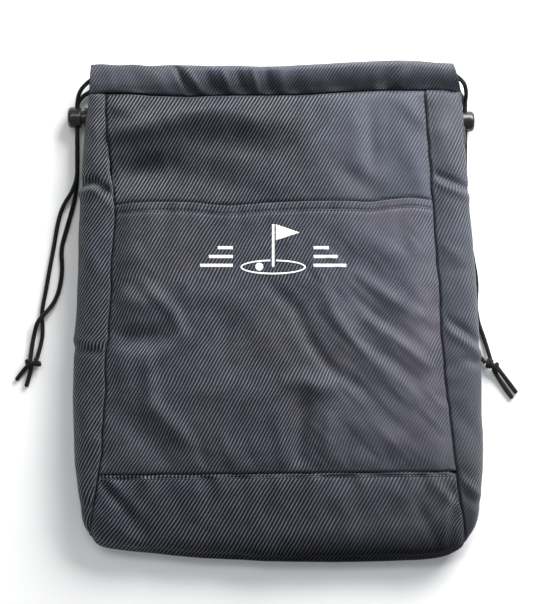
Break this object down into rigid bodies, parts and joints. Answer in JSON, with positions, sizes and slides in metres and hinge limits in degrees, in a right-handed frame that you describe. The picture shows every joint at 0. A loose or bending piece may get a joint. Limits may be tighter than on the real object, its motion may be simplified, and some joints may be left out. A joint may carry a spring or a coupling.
{
  "type": "golf shoe bag",
  "caption": "Flat drawstring shoe bag in dark ribbed twill, with a front slip pocket, folded side gussets, a corded mouth and a sliding spring cord lock on each side.",
  "frame": {"origin": "on the rest surface, under the middle of the bag without its cords", "axes": "+Y from the base towards the mouth, +Z out of the front of the bag, +X to the right of a person who looks at the front"},
  "size_m": [0.409, 0.402, 0.0423],
  "materials": {
    "twill_fabric": "coated polyester with a diagonal twill rib, charcoal with a cool sheen",
    "binding_tape": "plain woven black tape",
    "emblem_print": "thin white transfer print, satin",
    "cord_braid": "black braided polyester, slightly shiny",
    "lock_plastic": "moulded black plastic, gloss",
    "spring_steel": "bright spring wire"
  },
  "bodies": {
    "bag": {"front_panel": "twill_fabric", "back_panel": "twill_fabric", "left_gusset": "twill_fabric", "right_gusset": "twill_fabric", "base_panel": "twill_fabric", "front_pocket": "twill_fabric", "pocket_hem": "binding_tape", "front_emblem": "emblem_print", "casing_front": "twill_fabric", "casing_back": "twill_fabric", "binding_front_left": "binding_tape", "binding_front_right": "binding_tape", "binding_back_left": "binding_tape", "binding_back_right": "binding_tape", "binding_base_front": "binding_tape", "binding_base_back": "binding_tape", "drawcord_front": "cord_braid", "drawcord_back": "cord_braid", "left_cord_front": "cord_braid", "left_cord_back": "cord_braid", "right_cord_front": "cord_braid", "right_cord_back": "cord_braid", "left_knot": "cord_braid", "right_knot": "cord_braid", "left_cord_tails": "cord_braid", "right_cord_tails": "cord_braid"},
    "left_lock": {"left_lock_barrel": "lock_plastic", "left_lock_spring": "spring_steel"},
    "left_button": {"left_lock_button": "lock_plastic"},
    "right_lock": {"right_lock_barrel": "lock_plastic", "right_lock_spring": "spring_steel"},
    "right_button": {"right_lock_button": "lock_plastic"}
  },
  "joints": [
    {"name": "left_lock_slide", "type": "slide", "parent": "bag", "child": "left_lock", "axis": [0, -1, 0], "range_m": [0, 0.034]},
    {"name": "left_button_press", "type": "slide", "parent": "left_lock", "child": "left_button", "axis": [-1, 0, 0], "range_m": [0, 0.0022], "stiffness_N_per_m": 1500, "springref_m": -0.0005, "deforming": ["left_lock_spring"]},
    {"name": "right_lock_slide", "type": "slide", "parent": "bag", "child": "right_lock", "axis": [0, -1, 0], "range_m": [0, 0.032]},
    {"name": "right_button_press", "type": "slide", "parent": "right_lock", "child": "right_button", "axis": [1, 0, 0], "range_m": [0, 0.0022], "stiffness_N_per_m": 1500, "springref_m": -0.0005, "deforming": ["right_lock_spring"]}
  ]
}
